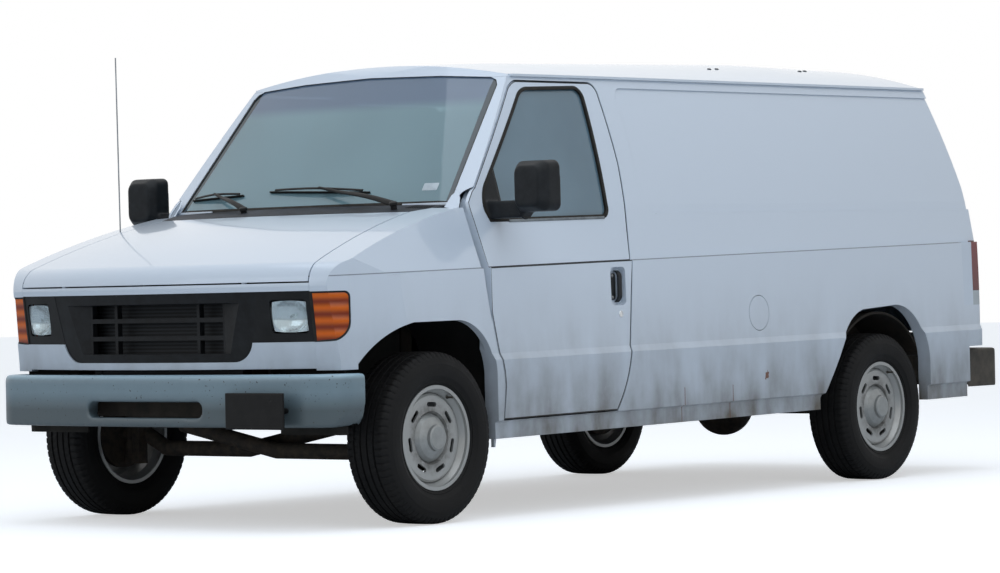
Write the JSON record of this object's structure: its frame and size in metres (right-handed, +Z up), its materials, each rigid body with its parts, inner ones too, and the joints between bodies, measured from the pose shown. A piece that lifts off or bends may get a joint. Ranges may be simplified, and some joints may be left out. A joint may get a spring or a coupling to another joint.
{
  "type": "cargo van",
  "caption": "Full-size cargo van on a ladder frame, with a plain load bay, side and rear doors, bonnet, steered front wheels and a live rear axle.",
  "frame": {"origin": "on the ground, under the middle of the van's length and width", "axes": "+Z up, +Y towards the tail, +X towards the driver's side (the van's left)"},
  "size_m": [2.472, 5.3849, 2.0942],
  "materials": {
    "white_paint": "gloss",
    "underbody": "matte",
    "cast_iron": "rough",
    "exhaust_steel": "dull",
    "bumper_paint": "satin",
    "grille_plastic": "matte",
    "black_plastic": "matte",
    "clear_lamp": "clear",
    "amber_lamp": "gloss",
    "red_lamp": "gloss",
    "window_glass": "tinted",
    "tyre_rubber": "matte",
    "wheel_paint": "satin",
    "seat_fabric": "woven",
    "cabin_plastic": "matte"
  },
  "bodies": {
    "body": {"aerial": "black_plastic", "body_side_left": "white_paint", "body_side_right": "white_paint", "chassis_frame": "underbody", "cowl_panel": "white_paint", "dashboard": "cabin_plastic", "engine_block": "cast_iron", "exhaust": "exhaust_steel", "firewall": "underbody", "floor_pan": "underbody", "front_axle": "underbody", "front_bumper": "bumper_paint", "front_panel": "white_paint", "fuel_tank": "underbody", "grille": "grille_plastic", "headlamps": "clear_lamp", "lamp_bezels": "grille_plastic", "left_wing": "white_paint", "plate_bracket": "black_plastic", "propeller_shaft": "underbody", "radiator": "underbody", "rear_axle": "underbody", "rear_bumper": "bumper_paint", "rear_sill": "white_paint", "right_wing": "white_paint", "roof_panel": "white_paint", "seat_frames": "underbody", "seats": "seat_fabric", "steering_wheel": "cabin_plastic", "tail_lamps": "red_lamp", "turn_lamps": "amber_lamp", "wheel_liners": "underbody", "windscreen_glass": "window_glass", "wipers": "black_plastic"},
    "left_knuckle": {"left_knuckle": "cast_iron"},
    "right_knuckle": {"right_knuckle": "cast_iron"},
    "front_left_wheel": {"front_left_tyre": "tyre_rubber", "front_left_wheel": "wheel_paint"},
    "front_right_wheel": {"front_right_tyre": "tyre_rubber", "front_right_wheel": "wheel_paint"},
    "rear_left_wheel": {"rear_left_tyre": "tyre_rubber", "rear_left_wheel": "wheel_paint"},
    "rear_right_wheel": {"rear_right_tyre": "tyre_rubber", "rear_right_wheel": "wheel_paint"},
    "left_door": {"left_door": "white_paint", "left_door_glass": "window_glass", "left_mirror": "black_plastic"},
    "right_door": {"right_door": "white_paint", "right_door_glass": "window_glass", "right_mirror": "black_plastic"},
    "side_door_front": {"side_door_front": "white_paint"},
    "side_door_rear": {"side_door_rear": "white_paint"},
    "rear_door_left": {"rear_door_left": "white_paint", "rear_glass_left": "window_glass"},
    "rear_door_right": {"rear_door_right": "white_paint", "rear_glass_right": "window_glass"},
    "bonnet": {"bonnet": "white_paint"},
    "fuel_flap": {"fuel_flap": "white_paint"}
  },
  "joints": [
    {"name": "left_steer", "type": "hinge", "parent": "body", "child": "left_knuckle", "pos_m": [0.8, -1.9325, 0.362], "axis": [0, 0, 1], "range_deg": [-33, 33]},
    {"name": "right_steer", "type": "hinge", "parent": "body", "child": "right_knuckle", "pos_m": [-0.8, -1.9325, 0.362], "axis": [0, 0, 1], "range_deg": [-33, 33]},
    {"name": "front_left_wheel_spin", "type": "hinge", "parent": "left_knuckle", "child": "front_left_wheel", "pos_m": [0.8815, -1.9325, 0.362], "axis": [1, 0, 0], "continuous": true},
    {"name": "front_right_wheel_spin", "type": "hinge", "parent": "right_knuckle", "child": "front_right_wheel", "pos_m": [-0.8815, -1.9325, 0.362], "axis": [1, 0, 0], "continuous": true},
    {"name": "rear_left_wheel_spin", "type": "hinge", "parent": "body", "child": "rear_left_wheel", "pos_m": [0.851, 1.5725, 0.362], "axis": [1, 0, 0], "continuous": true},
    {"name": "rear_right_wheel_spin", "type": "hinge", "parent": "body", "child": "rear_right_wheel", "pos_m": [-0.851, 1.5725, 0.362], "axis": [1, 0, 0], "continuous": true},
    {"name": "left_door_hinge", "type": "hinge", "parent": "body", "child": "left_door", "pos_m": [1.013, -1.60116, 0.80405], "axis": [0, 0.012, -0.9999], "range_deg": [0, 68]},
    {"name": "right_door_hinge", "type": "hinge", "parent": "body", "child": "right_door", "pos_m": [-1.013, -1.60116, 0.80405], "axis": [0, -0.012, 0.9999], "range_deg": [0, 68]},
    {"name": "side_door_front_hinge", "type": "hinge", "parent": "body", "child": "side_door_front", "pos_m": [-1.013, -0.44224, 0.81801], "axis": [0, -0.012, 0.9999], "range_deg": [0, 90]},
    {"name": "side_door_rear_hinge", "type": "hinge", "parent": "body", "child": "side_door_rear", "pos_m": [-1.013, 0.84766, 0.83354], "axis": [0, 0.012, -0.9999], "range_deg": [0, 90]},
    {"name": "rear_door_left_hinge", "type": "hinge", "parent": "body", "child": "rear_door_left", "pos_m": [0.905, 2.46834, 0.95307], "axis": [0, 0.012, -0.9999], "range_deg": [0, 178]},
    {"name": "rear_door_right_hinge", "type": "hinge", "parent": "body", "child": "rear_door_right", "pos_m": [-0.905, 2.46834, 0.95307], "axis": [0, -0.012, 0.9999], "range_deg": [0, 178]},
    {"name": "bonnet_hinge", "type": "hinge", "parent": "body", "child": "bonnet", "pos_m": [0, -1.76663, 1.3401], "axis": [-1, 0, 0], "range_deg": [0, 55]},
    {"name": "fuel_flap_hinge", "type": "hinge", "parent": "body", "child": "fuel_flap", "pos_m": [0.998, 0.36852, 0.84277], "axis": [0, 0.012, -0.9999], "range_deg": [0, 100]}
  ],
  "couplings": [
    {"joint": "right_steer", "follows": "left_steer", "ratio": 1}
  ]
}
